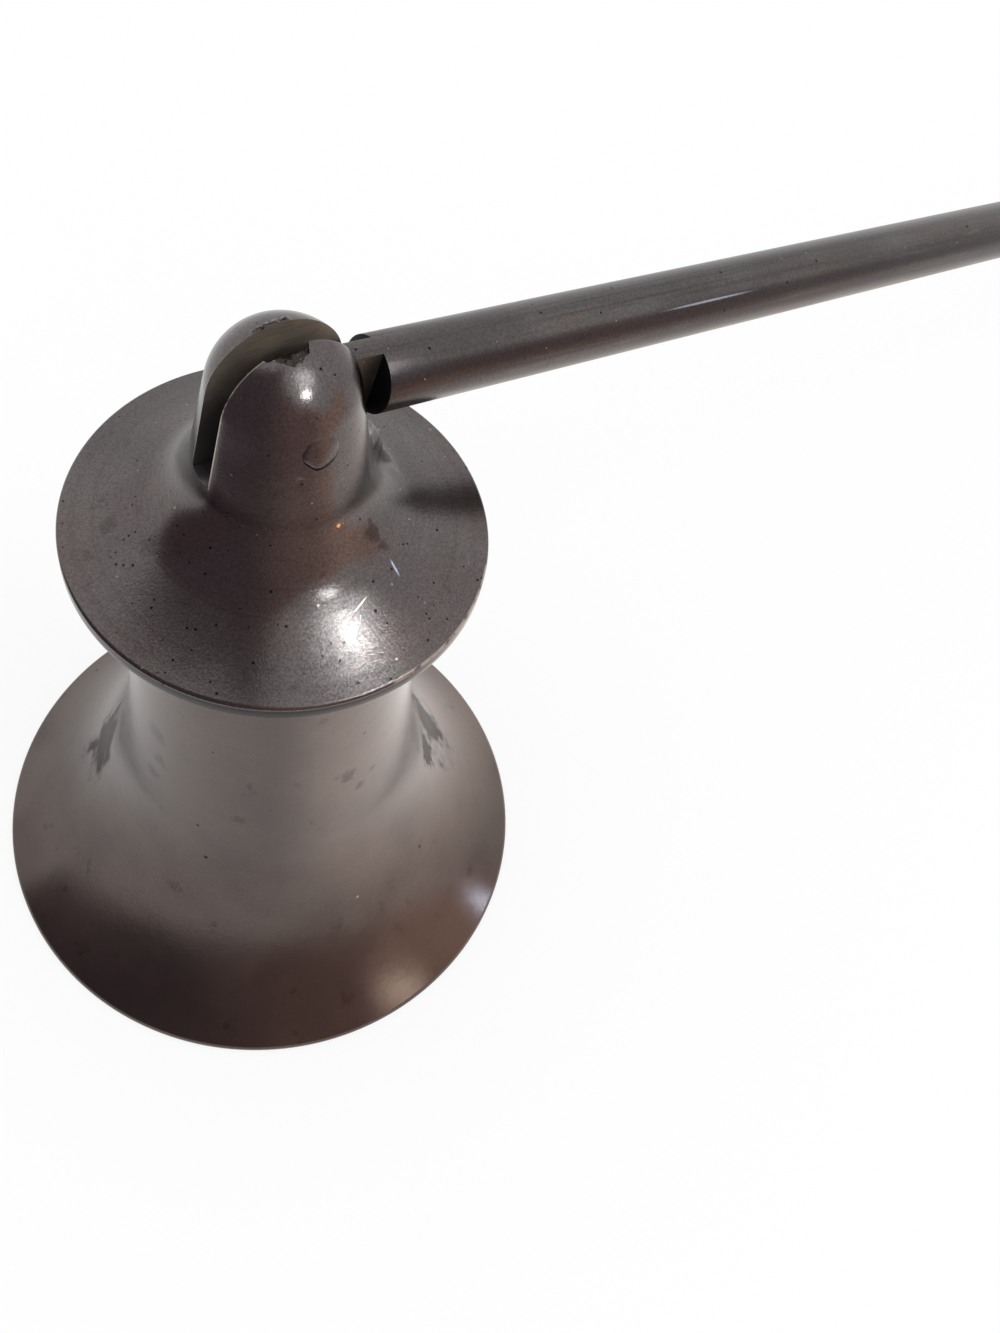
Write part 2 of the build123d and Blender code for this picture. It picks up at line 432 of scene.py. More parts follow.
rust = (0.05, 0.034, 0.03, 1)
soot = (0.05, 0.045, 0.045, 1)
# colours of the painted dark reflections on the bell's flare
rightPaintedReflection = (0.036, 0.024, 0.018, 1)
leftPaintedReflection = (0.034, 0.025, 0.022, 1)
faintSpot = (0.04, 0.033, 0.033, 1)
brownSpot = (0.05, 0.037, 0.034, 1)
bellLook = dict(
    dark=(0.103, 0.083, 0.077, 1),
    light=(0.127, 0.103, 0.094, 1),
    cloudScale=130.0,
    tint=(0.132, 0.105, 0.094, 1),
    tintScale=60.0,
    tintShare=0.6,
    lines="turned",
    lineScale=2600.0,
    lineShare=0.12,
    lineColour=(0.085, 0.072, 0.07, 1),
    lineDepth=4e-7,
    stain=(0.06, 0.046, 0.042, 1),
    blotchScale=420.0,
    blotchShare=0.6,
    marks=[  # place and size in mm, strength, colour
        ((-0.9, -11.1, 26.6), 0.7, 0.8, rust),
        ((0.2, -11.1, 26.0), 1.1, 0.8, (0.055, 0.038, 0.034, 1)),
        ((1.3, -11.2, 23.6), 0.7, 0.8, rust),
        ((2.6, -10.8, 24.6), 0.6, 0.7, rust),
        ((-10.5, -1.5, 27.6), 1.2, 0.7, soot),
        ((-11.0, -1.4, 22.0), 0.9, 0.7, (0.045, 0.04, 0.04, 1)),
        ((-10.8, -2.1, 24.6), 0.8, 0.6, soot),
        ((-7.6, -8.2, 22.0), 0.7, 0.5, (0.06, 0.044, 0.04, 1)),
        ((-4.2, -10.3, 27.0), 0.7, 0.55, (0.055, 0.04, 0.037, 1)),
    ],
    paintedReflections=[  # painted reflections: dull dark patches stand in for the flare's dark reflections, and stay dark where the metal is seen along its surface
        ((14.5, -3.5, 9.0), 4.6, 0.94, rightPaintedReflection),
        ((12.0, -6.5, 11.4), 2.4, 0.94, rightPaintedReflection),
        ((10.5, -6.2, 15.4), 2.4, 0.6, rightPaintedReflection),
        ((-11.0, 8.6, 11.0), 4.6, 0.94, leftPaintedReflection),
        ((-10.6, 5.4, 17.0), 2.4, 0.7, leftPaintedReflection),
    ],
    streaksAndGlints=[],
    pitScale=700.0,
    pitSize=0.13,
    pitShare=0.12,
    fleckScale=620.0,
    fleckSize=0.1,
    fleckShare=0.05,
    fleck=(0.3, 0.26, 0.22, 1),
    grainScale=5200.0,
    grainDepth=6e-6,
    peelScale=700.0,
    peelDepth=8e-6,
    dotDepth=1e-5,
    pit=(0.02, 0.018, 0.018, 1),
    speckle=0.12,
    speckleScale=5200.0,
    speckleColour=(0.01, 0.009, 0.009, 1),
    rough=(0.18, 0.23),
)
crownLook = dict(
    bellLook,
    dark=(0.13, 0.114, 0.114, 1),
    light=(0.163, 0.146, 0.143, 1),
    tint=(0.152, 0.121, 0.118, 1),
    tintScale=150.0,
    lineScale=3600.0,
    lineShare=0.25,
    lineDepth=9e-7,
    blotchScale=560.0,
    blotchShare=0.3,
    marks=[
        ((-9.8, 3.9, 46.0), 0.8, 0.3, faintSpot),
        ((-8.7, 0.8, 46.9), 0.7, 0.3, faintSpot),
        ((-11.8, 2.9, 45.4), 0.6, 0.25, faintSpot),
        ((3.1, -5.8, 48.8), 0.8, 0.7, brownSpot),
        ((3.6, -6.6, 48.0), 0.5, 0.6, brownSpot),
        ((0.7, -5.6, 50.8), 0.5, 0.25, (0.4, 0.2, 0.09, 1)),
        ((0.7, -5.6, 50.8), 0.17, 1.0, (0.95, 0.7, 0.35, 1)),
    ],
    paintedReflections=[],
    streaksAndGlints=[
        dict(
            at=(0.5, -8.95, 46.8),
            turn=(0, math.radians(-8.7), math.radians(22.6)),
            size=(0.8, 0.05, 0.09),
            soft=0.5,
            share=0.8,
            colour=(0.95, 0.8, 0.6, 1),
        ),
        # painted reflection: a pale blue glint of light on the disc, drawn as a mark
        dict(
            at=(3.75, -7.75, 47.0),
            turn=(0, math.radians(28.5), math.radians(-84.8)),
            size=(0.75, 0.11, 0.12),
            soft=0.3,
            share=0.9,
            colour=(0.62, 0.74, 0.95, 1),
        ),
    ],
    pitScale=2600.0,
    pitSize=0.26,
    pitShare=0.2,
    fleckScale=2000.0,
    fleckSize=0.2,
    fleckShare=0.1,
    fleck=(0.36, 0.3, 0.25, 1),
    grainScale=7000.0,
    grainDepth=7e-6,
    speckle=0.34,
    speckleScale=6200.0,
    rough=(0.17, 0.23),
    # the colour of worn edges, also the painted highlight on the disc's lit edge
    worn=(0.75, 0.67, 0.58, 1),
    wornDull=0.6,
    patchScale=900.0,
    darkRim=(crownLow.z + 0.85 * mm, crownLow.z + 1.05 * mm),
    rim=(0.028, 0.024, 0.025, 1),
)
handleLook = dict(
    bellLook,
    dark=(0.104, 0.094, 0.093, 1),
    light=(0.142, 0.131, 0.13, 1),
    tint=(0.126, 0.105, 0.095, 1),
    lines="drawn",
    lineScale=4200.0,
    lineShare=0.3,
    lineColour=(0.06, 0.05, 0.051, 1),
    lineDepth=1.5e-6,
    lineStretch=60.0,
    streak=(0.07, 0.06, 0.061, 1),
    streakRun=(1100.0, 45.0),  # scale and stretch
    streakShare=0.75,
    worn=(0.2, 0.15, 0.1, 1),
    wornDull=0.6,
    patchScale=900.0,
    rubbedRun=(2600.0, 14.0),
    rubbedShare=0.5,
    marks=[],
    paintedReflections=[],
    blotchShare=0.2,
    pitScale=1300.0,
    pitSize=0.2,
    pitShare=0.1,
    fleckScale=2400.0,
    fleckSize=0.16,
    fleckShare=0.1,
    speckle=0.3,
    streaksAndGlints=[
        # a long dark band drawn along the rod
        dict(
            at=(33.2, -2.0, 51.5),
            turn=(0, handleTurn, 0),
            size=(95, 0.95, 0.75),
            soft=0.2,
            share=0.85,
            colour=(0.046, 0.041, 0.046, 1),
        ),
        # painted highlight: a thin bluish line of light along the top of the rod
        dict(
            at=(33.2, -1.75, 51.85),
            turn=(0, handleTurn, 0),
            size=(5.6, 0.1, 0.1),
            soft=0.4,
            share=0.7,
            colour=(0.5, 0.58, 0.72, 1),
        ),
    ],
    rough=(0.26, 0.34),
)
bellBronze = bronzeFinish("bellBronze", bellLook)
crownBronze = bronzeFinish("crownBronze", crownLook)
handleBronze = bronzeFinish("handleBronze", handleLook)


def sawnFinish(name, look):  # bare metal that has gone brown, with painted shade that makes it darker towards the bottom of the cut
    material, tree, shader, place = newMaterial(name)
    height = heightOf(tree, place)
    cloud = noiseAt(tree, place, look["cloudScale"], 4.0, 0.6)
    shift = times(tree, sums(tree, "SUBTRACT", cloud, 0.5), look["ragged"])
    # painted shade: deep colour low in the cut, open colour towards its top
    bright = ramp(tree, sums(tree, "ADD", height, shift), look["low"], look["high"])
    colour = mixColours(tree, bright, look["deep"], look["open"])
    goldAndGlints = ramp(tree, noiseAt(tree, place, look["goldAndGlintScale"], 3.0), *bands["goldAndGlints"])
    colour = layOver(tree, colour, times(tree, goldAndGlints, look["goldAndGlintShare"]), bright, look["goldAndGlints"])
    turned = {"Vector": place, "Rotation": look["cutTurn"], "Scale": look["cutStretch"]}
    alongCut = addNode(tree, "ShaderNodeMapping", turned).outputs["Vector"]
    cuts = noiseAt(tree, alongCut, look["cutScale"], 3.0, 0.7)
    colour = layOver(tree, colour, ramp(tree, cuts, *bands["cuts"]), look["cutShare"], look["deep"])
    tree.links.new(colour, shader.inputs["Base Color"])
    shader.inputs["Metallic"].default_value = look["metal"]
    shader.inputs["Roughness"].default_value = look["rough"]
    surfaceBump(tree, shader, [(cuts, look["cutDepth"]), (cloud, look["cloudDepth"])])
    return material


slotLook = dict(
    deep=(0.13, 0.12, 0.12, 1),
    open=(0.42, 0.36, 0.3, 1),
    goldAndGlints=(0.62, 0.43, 0.2, 1),
    goldAndGlintShare=0.5,
    low=pivot.z - 2.5 * mm,
    high=pivot.z + 3.6 * mm,
    cloudScale=700.0,
    cloudDepth=1e-5,
    ragged=3 * mm,  # how far the change of colour wanders up and down
    goldAndGlintScale=1300.0,
    cutScale=5200.0,
    cutStretch=(0.06, 1, 1),
    cutTurn=(0, 0, 0),
    cutShare=0.45,
    cutDepth=5e-6,
    metal=0.85,
    rough=0.4,
)
chipLook = dict(
    slotLook,
    deep=(0.02, 0.018, 0.018, 1),
    open=(0.06, 0.05, 0.048, 1),
    # painted glints: the pale specks stand in for glints of light on the broken metal
    goldAndGlints=(0.85, 0.78, 0.7, 1),
    goldAndGlintShare=1.0,
    low=pivot.z + 2 * mm,
    high=pivot.z + 5 * mm,
    rough=0.28,
)
tongueLook = dict(
    slotLook,
    deep=(0.035, 0.03, 0.03, 1),
    open=(0.088, 0.074, 0.062, 1),
    goldAndGlintShare=0.25,
    low=pivot.z - 4 * mm,
    high=pivot.z + 3 * mm,
    cutTurn=(0, 0.6, 0),
)
shoulderLook = dict(
    slotLook, deep=(0.012, 0.012, 0.014, 1), open=(0.02, 0.019, 0.02, 1), goldAndGlintShare=0.0, rough=0.5
)
brassLook = dict(
    slotLook, deep=(0.3, 0.22, 0.1, 1), open=(0.5, 0.38, 0.18, 1), low=20 * mm, high=70 * mm, rough=0.36
)
sawnSlot = sawnFinish("sawnSlot", slotLook)
chippedEdge = sawnFinish("chippedEdge", chipLook)
milledTongue = sawnFinish("milledTongue", tongueLook)
milledShoulder = sawnFinish("milledShoulder", shoulderLook)
plainBrass = sawnFinish("plainBrass", brassLook)

# bell: one spun shell, with the screw's hole in its roof
bell = dict(
    neckTop=9.8 * mm,
    neckBase=11.6 * mm,
    neckBaseHeight=18.5 * mm,
    rimEdge=0.6 * mm,
    wall=1.2 * mm,
    roof=1.4 * mm,
    hole=1.7 * mm,
    edgeRound=0.22 * mm,
    sharp=math.radians(30),  # edges that turn more than this are rounded
    neckSteps=32,
    innerNeckSteps=16,
    flareSteps=64,
    turns=192,
)


def makeBell():
    top = bellHigh.z
    rim = bellHigh.x
    drop = top - bell["neckBaseHeight"]
    lean = 2 * math.atan2(bell["neckBase"] - bell["neckTop"], drop)
    neckCurve = drop / math.sin(lean)
    neckCentre = (bell["neckTop"] + neckCurve, top)
    out = Vector((math.cos(lean), math.sin(lean)))
    base = Vector((bell["neckBase"], bell["neckBaseHeight"]))
    chord = Vector((rim, bell["rimEdge"])) - base
    flare = chord.length_squared / (2 * chord.dot(out))
    centre = base + out * flare
    sweep = 2 * math.asin(chord.length / (2 * flare))
    innerBase = base - out * bell["wall"]
    under = top - bell["roof"]
    innerLean = lean - math.asin(bell["roof"] / (neckCurve + bell["wall"]))
    innerSweep = math.asin(centre.y / (flare + bell["wall"])) - lean
    bm = bmesh.new()
    first = startOutline(bm, bell["hole"], under)
    vert = lineTo(bm, first, bell["hole"], top)
    vert = lineTo(bm, vert, bell["neckTop"], top)
    vert = arcTo(bm, vert, neckCentre, -lean, bell["neckSteps"])
    vert = arcTo(bm, vert, centre, -sweep, bell["flareSteps"])
    vert = lineTo(bm, vert, rim, 0)
    start = startOutline(bm, *innerBase)
    last = arcTo(bm, start, centre, -innerSweep, bell["flareSteps"])
    bm.edges.new((vert, last))
    vert = arcTo(bm, start, neckCentre, innerLean, bell["innerNeckSteps"])
    bm.edges.new((vert, first))
    spinOutline(bm, bell["turns"])
    roundEdges(bm, sharpEdges(bm, bell["sharp"]), bell["edgeRound"], 3)
    return finishPiece(bm, "bellShell", "head", "bell", [bellBronze])


# crown: a turned disc and knob, sawn through to make the fork
crown = dict(
    edge=1.2 * mm,
    brimSlope=math.radians(27.0),  # where the brim runs into the flare
    brim=32.0 * mm,
    flare=6.5 * mm,
    taper=math.radians(9.0),
    knob=4.55 * mm,
    bore=1.52 * mm,
    boreDepth=4.66 * mm,
    slotFront=0.75 * mm,  # the saw cut isn't quite central, nor quite square
    slotBack=1.07 * mm,
    slotSkew=-0.035,
    cadSlot=0.95 * mm,  # half the slot that the box of the node is measured with
    slotDepth=6.7 * mm,
    floorSlope=math.radians(19.5),
    edgeRound=0.16 * mm,
    sharp=math.radians(50),
    underRound=0.28 * mm,
    litWornFrom=math.radians(-90),  # the run of the disc's edge that is rubbed bright, and painted lighter there as a highlight
    litWornTo=math.radians(-45),
    discWearAndHighlight=0.4,
    slotRound=0.13 * mm,
    slotWear=0.2,
    rubbedWear=0.6,  # at the front of the slot's left end
    rubbedUntil=-1.2 * mm,
    holeRadius=0.87 * mm,
    crest=3 * mm,  # above the pivot, where the broken edges begin
    chip=[  # outline from above, mm
        (-1.8, -0.74),
        (-1.31, -1.14),
        (-0.91, -1.49),
        (-0.45, -1.76),
        (0.17, -1.65),
        (0.61, -1.43),
        (0.97, -0.74),
    ],
    chipLeft=-2.4 * mm,  # the patch that gets a finer mesh for the chip
    chipRight=1.5 * mm,
    chipFront=-2.2 * mm,
    chipStep=0.3,  # mm, at the chip's outline
    chipSlope=0.5,
    chipRagged=((0.16, 2600), (0.1, 7000)),  # mm, and the scale of the noise
    chipFloor=(0.22, 3300),
    lip=[  # height, and how far out it is bent there, mm
        (47.3, 0.0),
        (47.7, 0.25),
        (50.0, 0.95),
        (51.3, 0.95),
        (52.6, 0.45),
        (53.1, 0.0),
    ],
    lipFrom=3,  # mm along X
    lipWide=1.5,
    lipBare=0.25,  # bent further than this, it has lost its finish
    burr=(-1.5, 1.0),  # mm along the back cheek
    burrWide=0.45,
    burrEnd=0.3,
    burrSize=0.26,
    dentAt=Vector((-1.3, -4.6, 55.15)),
    dentAlong=Vector((0.86, -0.1, -0.5)),
    dentSize=(0.42, 0.14, 0.09),  # mm: half length, half width, depth
    turns=240,
    slotTurns=6,  # steps from the X axis to the slot's wall
    brimSteps=24,
    steps=44,  # in the flare, the shank and the dome
)


def slotHalfAt(x, y):
    if y < 0:
        return crown["slotFront"]
    return crown["slotBack"] + crown["slotSkew"] * x


# turns the spun columns so that four of them lie on the walls of the slot
def warpToSlot(bm, knobHeight):
    share = math.tau * crown["slotTurns"] / crown["turns"]
    quarter = math.pi / 2
    for vert in bm.verts:
        x, y, z = vert.co
        r = math.hypot(x, y)
        angle = math.atan2(abs(y), abs(x))
        half = slotHalfAt(0, y)
        if r < half * 1.001 and z > pivot.z:  # the crest of a cheek is one point
            if angle > share * 0.999:
                crest = knobHeight + math.sqrt(crown["knob"] ** 2 - half**2)
                vert.co = (0, math.copysign(half, y), crest)
            continue
        if r < half:
            continue
        for step in range(8):
            wall = math.asin(min(1, half / r))
            half = slotHalfAt(math.copysign(r * math.cos(wall), x), y)
        if angle <= share:
            angle *= wall / share
        else:
            angle = wall + (angle - share) * (quarter - wall) / (quarter - share)
        vert.co.x = math.copysign(r * math.cos(angle), x)
        vert.co.y = math.copysign(r * math.sin(angle), y)


def makeCrown():
    seat = crownLow.z
    disc = crownHigh.x
    knob = crown["knob"]
    discTop = seat + crown["edge"]
    knobHeight = crownHigh.z - math.sqrt(knob**2 - crown["cadSlot"] ** 2)
    taper = crown["taper"]
    tangent = Vector((knob * math.cos(taper), knobHeight + knob * math.sin(taper)))
    down = Vector((math.sin(taper), -math.cos(taper)))
    shankOut = Vector((math.cos(taper), math.sin(taper)))
    brimOut = Vector((math.sin(crown["brimSlope"]), math.cos(crown["brimSlope"])))
    height = discTop + 6 * mm  # a first guess
    for step in range(12):  # slides the flare along the shank until the brim ends on the disc's edge
        flareTop = tangent + down * ((tangent.y - height) / math.cos(taper))
        flareCentre = flareTop + shankOut * crown["flare"]
        flareFoot = flareCentre - brimOut * crown["flare"]
        brimCentre = flareFoot + brimOut * crown["brim"]
        edgeSlope = math.asin((brimCentre.x - disc) / crown["brim"])
        height += discTop - brimCentre.y + crown["brim"] * math.cos(edgeSlope)
    turn = math.pi / 2 - taper - crown["brimSlope"]
    brimTurn = crown["brimSlope"] - edgeSlope
    domeTurn = math.acos(crown["slotFront"] / knob) - taper

    bm = bmesh.new()
    vert = startOutline(bm, 0, seat + crown["boreDepth"])
    vert = lineTo(bm, vert, crown["bore"], seat + crown["boreDepth"])
    vert = lineTo(bm, vert, crown["bore"], seat)
    under = crown["underRound"]
    vert = lineTo(bm, vert, disc - under, seat, steps=4)
    vert = arcTo(bm, vert, (disc - under, seat + under), -math.pi / 2, 8)
    vert = lineTo(bm, vert, disc, discTop)
    vert = arcTo(bm, vert, brimCentre, brimTurn, crown["brimSteps"])
    vert = arcTo(bm, vert, flareCentre, turn, crown["steps"])
    vert = lineTo(bm, vert, *tangent, steps=crown["steps"])
    vert = arcTo(bm, vert, (0, knobHeight), -domeTurn, crown["steps"])
    spinOutline(bm, crown["turns"])
    rounded = roundEdges(bm, sharpEdges(bm, crown["sharp"]), crown["edgeRound"], 4)
    # the lit run of the disc's edge: rubbed bright, and painted lighter as a highlight
    worn = []
    for face in rounded:
        middle = face.calc_center_median()
        angle = math.atan2(middle.y, middle.x)
        if middle.xy.length > disc - 1 * mm and crown["litWornFrom"] < angle < crown["litWornTo"]:
            worn.append(face)
    markWearAndHighlight(bm, worn, crown["discWearAndHighlight"])
    warpToSlot(bm, knobHeight)
    tidyMesh(bm)
    sawSlot(bm)
    chipFront(bm)
    raiseBurr(bm)
    bendLip(bm)
    dentShank(bm)
    bmesh.ops.recalc_face_normals(bm, faces=bm.faces)
    finishes = [crownBronze, sawnSlot, chippedEdge]
    hole = (crown["holeRadius"], disc)
    return finishPiece(bm, "crownFork", "head", "crown", finishes, hole=hole)


def alongLine(points, x):  # height of a drawn line at x, or zero off its ends
    for (x0, y0), (x1, y1) in zip(points, points[1:]):
        if x0 <= x <= x1:
            return y0 + (y1 - y0) * (x - x0) / (x1 - x0)
    return 0.0


def bareMetal(bm, verts):  # gives the broken faces their own finish
    for face in bm.faces:
        if not isFlat(face) and all(v in verts for v in face.verts):
            face.material_index = secondCut


def chipFront(bm):  # a piece is broken out of the front cheek's crest
    low = pivot.z + crown["crest"]
    inBox = set()
    for vert in bm.verts:
        x, y, z = vert.co
        if z > low and crown["chipLeft"] < x < crown["chipRight"] and crown["chipFront"] < y < 0:
            inBox.add(vert)
    edges = [e for e in bm.edges if all(v in inBox for v in e.verts) and e.calc_length() > 0.05 * mm]
    edges = [e for e in edges if not any(isFlat(f) for f in e.link_faces)]
    bmesh.ops.subdivide_edges(bm, edges=edges, cuts=2, use_grid_fill=True)
    deep, scale = crown["chipFloor"]
    broken = set()
    for vert in bm.verts:
        x, y, z = vert.co / mm
        if vert.co.z < low or y > 0:
            continue
        ragged = sum(size * noise.noise(vert.co * fine) for size, fine in crown["chipRagged"])
        edge = alongLine(crown["chip"], x)
        over = y - edge - ragged
        if edge < 0 and over > 0:
            drop = crown["chipStep"] * smoothStep(0, 0.06, over) + crown["chipSlope"] * over
            drop += deep * noise.noise(vert.co * scale) * smoothStep(0.05, 0.3, over)
            vert.co.z -= max(0, drop) * mm
            broken.add(vert)
    bareMetal(bm, broken)


def raiseBurr(bm):  # torn metal along the crest of the back cheek
    low = pivot.z + crown["crest"]
    back = crown["slotBack"] / mm
    wide = back + crown["burrWide"]
    left, right = crown["burr"]
    torn = set()
    for vert in bm.verts:
        x, y, z = vert.co / mm
        if vert.co.z > low and 0 < y < wide and left < x < right:
            share = smoothStep(wide, back + 0.1, y)
            share *= smoothStep(left, left + crown["burrEnd"], x)
            share *= smoothStep(right, right - crown["burrEnd"], x)
            vert.co.z += crown["burrSize"] * mm * share * (0.3 + 1.2 * noise.noise(vert.co * 4200))
            if share > 0.3:
                torn.add(vert)
    bareMetal(bm, torn)


def bendLip(bm):  # the front cheek's edge is bent out beside the handle
    front = crown["slotFront"] / mm
    wide = front + crown["lipWide"]
    bent = set()
    for vert in bm.verts:
        x, y, z = vert.co / mm
        if x > crown["lipFrom"] and -wide < y < 0:
            reach = alongLine(crown["lip"], z) * smoothStep(wide, front + 0.1, -y)
            vert.co.x += reach * (1 + 0.1 * noise.noise(vert.co * 1200)) * mm
            if reach > crown["lipBare"]:
                bent.add(vert)
    bareMetal(bm, bent)


def dentShank(bm):  # a short nick in the shank
    long, wide, deep = crown["dentSize"]
    along = crown["dentAlong"].normalized()
    for vert in bm.verts:
        away = vert.co / mm - crown["dentAt"]
        if away.length < 1.2:
            run = away.dot(along)
            side = (away - along * run).length
            depth = deep * math.exp(-((run / long) ** 4) - (side / wide) ** 2)
            vert.co -= Vector((vert.co.x, vert.co.y, 0)).normalized() * depth * mm


def sawSlot(bm):
    floorPoint = Vector((0, 0, pivot.z - crown["slotDepth"]))
    floorNormal = Vector((math.sin(crown["floorSlope"]), 0, math.cos(crown["floorSlope"])))
    near = 2 * mm

    def above(point):
        return (point - floorPoint).dot(floorNormal)

    def inSlot(face):
        return all(abs(v.co.y) < slotHalfAt(v.co.x, v.co.y) + hair for v in face.verts)

    strip = [f for f in bm.faces if inSlot(f) and above(f.calc_center_median()) > -near]
    strip = [f for f in strip if f.calc_center_median().xy.length > 2 * near]
    geom = strip + [e for f in strip for e in f.edges] + [v for f in strip for v in f.verts]
    geom = list(dict.fromkeys(geom))
    bmesh.ops.bisect_plane(bm, geom=geom, dist=hair, plane_co=floorPoint, plane_no=floorNormal)
    gone = [f for f in bm.faces if inSlot(f) and above(f.calc_center_median()) > hair]
    bmesh.ops.delete(bm, geom=gone, context="FACES")
    rimEdges = [e for e in bm.edges if e.is_boundary]
    onFloor = [e for e in rimEdges if all(abs(above(v.co)) < 2 * hair for v in e.verts)]
    floorVerts = list(dict.fromkeys(v for e in onFloor for v in e.verts))
    lines = []
    for side in (-1, 1):
        corners = []
        for end in (-1, 1):
            there = [v for v in floorVerts if v.co.x * end > 0]
            corners.append(max(there, key=lambda v: v.co.y * side))
        lines.append(bm.edges.new(corners))
        wall = [e for e in rimEdges if e not in onFloor and e.verts[0].co.y * side > 0]
        made = bmesh.ops.contextual_create(bm, geom=wall + [lines[-1]])
        for face in made["faces"]:
            face.material_index = cutFinish
    made = bmesh.ops.contextual_create(bm, geom=onFloor + lines)
    for face in made["faces"]:
        face.material_index = cutFinish
    bmesh.ops.recalc_face_normals(bm, faces=bm.faces)
    cut = [e for e in bm.edges if len({f.material_index for f in e.link_faces}) == 2]
    rounded = roundEdges(bm, cut, crown["slotRound"], 4)
    layer = bm.verts.layers.float.get("wearAndHighlight")
    for vert in {v for f in rounded for v in f.verts}:
        rubbed = vert.co.x < crown["rubbedUntil"] and vert.co.y < 0
        vert[layer] = crown["rubbedWear"] if rubbed else crown["slotWear"]


# pivot pin, hammered over at both ends
pin = dict(
    radius=0.85 * mm,
    head=1.14 * mm,
    rise=0.24 * mm,  # how proud the hammered ends are
    ragged=0.1,
    lean=Vector((-0.2, 0, -0.1)) * mm,  # the front end was knocked over to one side
    drape=4.7 * mm,  # radius of the cheek that the ends lie on
    lift=0.05,  # the lower left stands further out
    sunk=0.6,  # share of the rise by which the heads start inside the CAD pin's ends
    cone=0.5 * mm,  # from a head's edge in to the shank
    shaped=0.4 * mm,  # how much of each end is hammered
    domeSteps=8,
    turns=64,
)


def makePin():
    seat = pinHigh.y - pin["rise"] * pin["sunk"]
    head = pin["head"]
    steps = pin["domeSteps"]
    dome = []
    for step in range(1, steps + 1):
        angle = step / steps * math.pi / 2
        dome.append((head * math.sin(angle), pin["rise"] * math.cos(angle)))
    bm = bmesh.new()
    vert = startOutline(bm, 0, -seat - pin["rise"])
    for r, rise in dome:
        vert = lineTo(bm, vert, r, -seat - rise)
    vert = lineTo(bm, vert, pin["radius"], -seat + pin["cone"])
    vert = lineTo(bm, vert, pin["radius"], seat - pin["cone"])
    vert = lineTo(bm, vert, head, seat)
    for r, rise in reversed(dome[:-1]):
        vert = lineTo(bm, vert, r, seat + rise)
    lineTo(bm, vert, 0, seat + pin["rise"])
    spinOutline(bm, pin["turns"])
    bmesh.ops.transform(bm, matrix=turnAcross, verts=bm.verts)
    for vert in bm.verts:
        if abs(vert.co.y) < seat - pin["shaped"]:
            continue
        bump = 1 + pin["ragged"] * noise.noise(vert.co * 1500)
        vert.co.x *= bump
        vert.co.z *= bump
        side = math.copysign(1, vert.co.y)
        if side < 0:
            vert.co.y += (vert.co.x + vert.co.z) * pin["lift"]
            vert.co += pin["lean"]
        vert.co.y -= side * (vert.co.x**2 / (2 * pin["drape"]) + vert.co.z * math.tan(crown["taper"]))
    bmesh.ops.translate(bm, verts=bm.verts, vec=pivot)
    bmesh.ops.recalc_face_normals(bm, faces=bm.faces)
    return finishPiece(bm, "pivotPin", "head", "pivot_pin", [crownBronze])


# handle: a drawn rod with a milled tongue, and a turned ball in its far end
def makeRod():
    rod = handle["rod"]
    bm = bmesh.new()
    vert = startOutline(bm, 0, -rod)
    vert = arcTo(bm, vert, (0, 0), -math.pi / 2, handle["endSteps"])
    vert = lineTo(bm, vert, rod, handle["shoulder"], steps=6)
    vert = lineTo(bm, vert, rod, rodEnd, steps=handle["rodSteps"])
    vert = lineTo(bm, vert, handle["bore"], rodEnd)
    vert = lineTo(bm, vert, handle["bore"], rodEnd - handle["boreDepth"])
    vert = lineTo(bm, vert, 0, rodEnd - handle["boreDepth"])
    spinOutline(bm, handle["turns"])
    millTongue(bm)
    bmesh.ops.transform(bm, matrix=alongHandle, verts=bm.verts)
    finishes = [handleBronze, milledTongue, milledShoulder]
    hole = (handle["eye"], 2 * rod)
    return finishPiece(bm, "handleRod", "handle", "handle_rod", finishes, hole=hole)


def millTongue(bm):
    half = handle["tongueHalf"]
    shoulder = handle["shoulder"]
    for side in (-1, 1):
        geom = [f for f in bm.faces if f.calc_center_median().z < shoulder]
        geom += [e for f in geom for e in f.edges] + [v for f in geom for v in f.verts]
        geom = list(dict.fromkeys(geom))
        bmesh.ops.bisect_plane(bm, geom=geom, dist=hair, plane_co=(0, side * half, 0), plane_no=(0, side, 0))
        gone = []
        for face in bm.faces:
            middle = face.calc_center_median()
            if middle.z < shoulder and middle.y * side > half + hair:
                gone.append(face)
        bmesh.ops.delete(bm, geom=gone, context="FACES")
        rimEdges = [e for e in bm.edges if e.is_boundary]
        atShoulder = [e for e in rimEdges if all(abs(v.co.z - shoulder) < hair for v in e.verts)]
        ends = [v for e in atShoulder for v in e.verts if abs(v.co.y - side * half) < hair]
        line = bm.edges.new(ends)
        flat = [e for e in rimEdges if e not in atShoulder]
        for edges, finish in ((flat + [line], cutFinish), (atShoulder + [line], secondCut)):
            made = bmesh.ops.contextual_create(bm, geom=edges)
            for face in made["faces"]:
                face.material_index = finish
    bmesh.ops.recalc_face_normals(bm, faces=bm.faces)
    milled = [e for e in bm.edges if len({min(f.material_index, cutFinish) for f in e.link_faces}) == 2]
    markWearAndHighlight(bm, roundEdges(bm, milled, handle["edgeRound"], 2), handle["tongueWear"])
    far = [e for e in sharpEdges(bm, handle["sharp"]) if e.verts[0].co.z > shoulder + rodEnd / 2]
    roundEdges(bm, far, handle["edgeRound"], 2)


